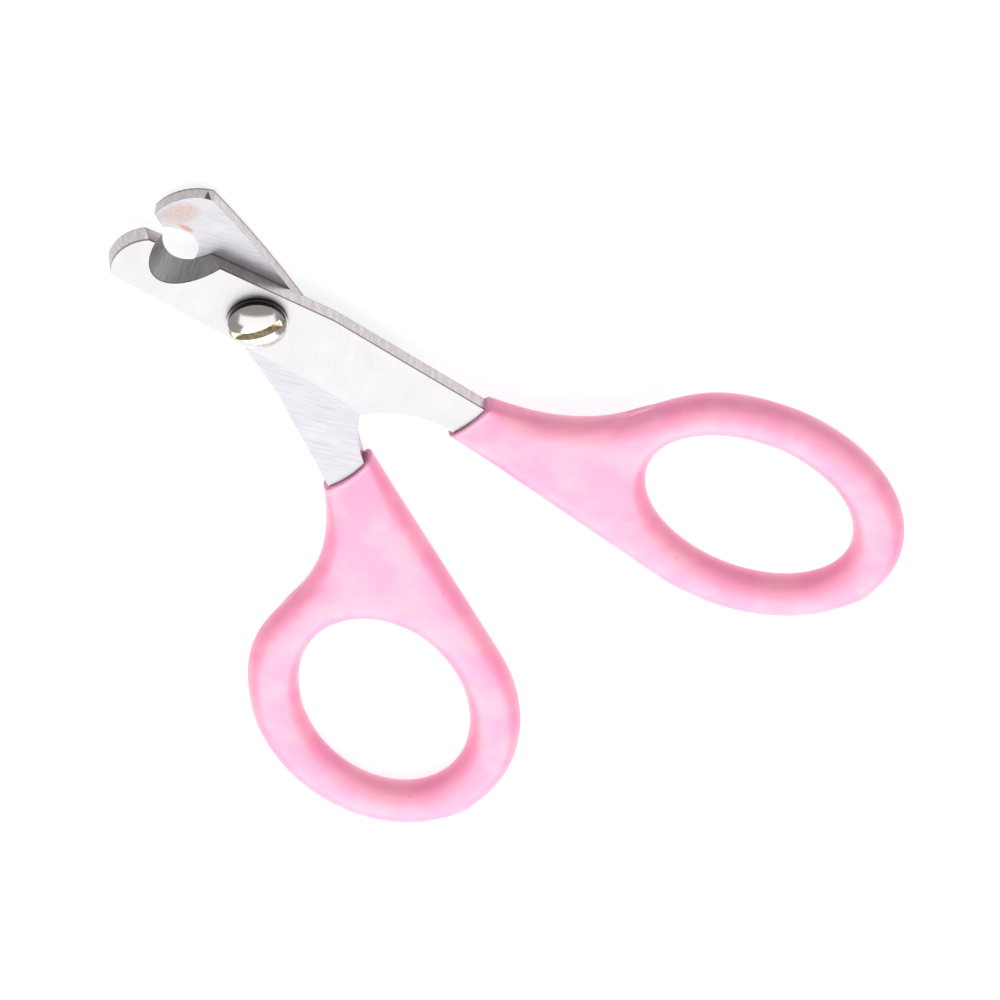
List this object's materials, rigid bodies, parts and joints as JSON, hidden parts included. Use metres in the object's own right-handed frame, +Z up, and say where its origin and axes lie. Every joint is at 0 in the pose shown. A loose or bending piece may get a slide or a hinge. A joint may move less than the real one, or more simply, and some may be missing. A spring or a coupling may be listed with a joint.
{
  "type": "scissor claw clipper",
  "caption": "Small pivoting claw clipper: two crossed steel plates with half-round ground notches, a slotted pivot screw and oval finger rings dipped in vinyl.",
  "frame": {"origin": "middle of the whole outline as it lies part open, on the surface that it lies on", "axes": "+Z up towards the screw head, along the pivot; +X from the handles towards the blade tips, midway between the two handles; +Y towards the lower half's finger ring"},
  "size_m": [0.0858, 0.0748, 0.0066],
  "materials": {
    "blade_steel": "surface-ground stamped stainless sheet",
    "grip_vinyl": "satin-gloss dipped vinyl",
    "screw_plating": "bright nickel plating"
  },
  "bodies": {
    "lower_half": {"lower_blade": "blade_steel", "lower_grip": "grip_vinyl", "pivot_screw": "screw_plating", "screw_washer": "screw_plating"},
    "upper_half": {"upper_blade": "blade_steel", "upper_grip": "grip_vinyl"}
  },
  "joints": [
    {"name": "pivot", "type": "hinge", "parent": "lower_half", "child": "upper_half", "pos_m": [0.02604, -0.00009, 0.0026], "axis": [0, 0, 1], "range_deg": [-17, 40]}
  ]
}
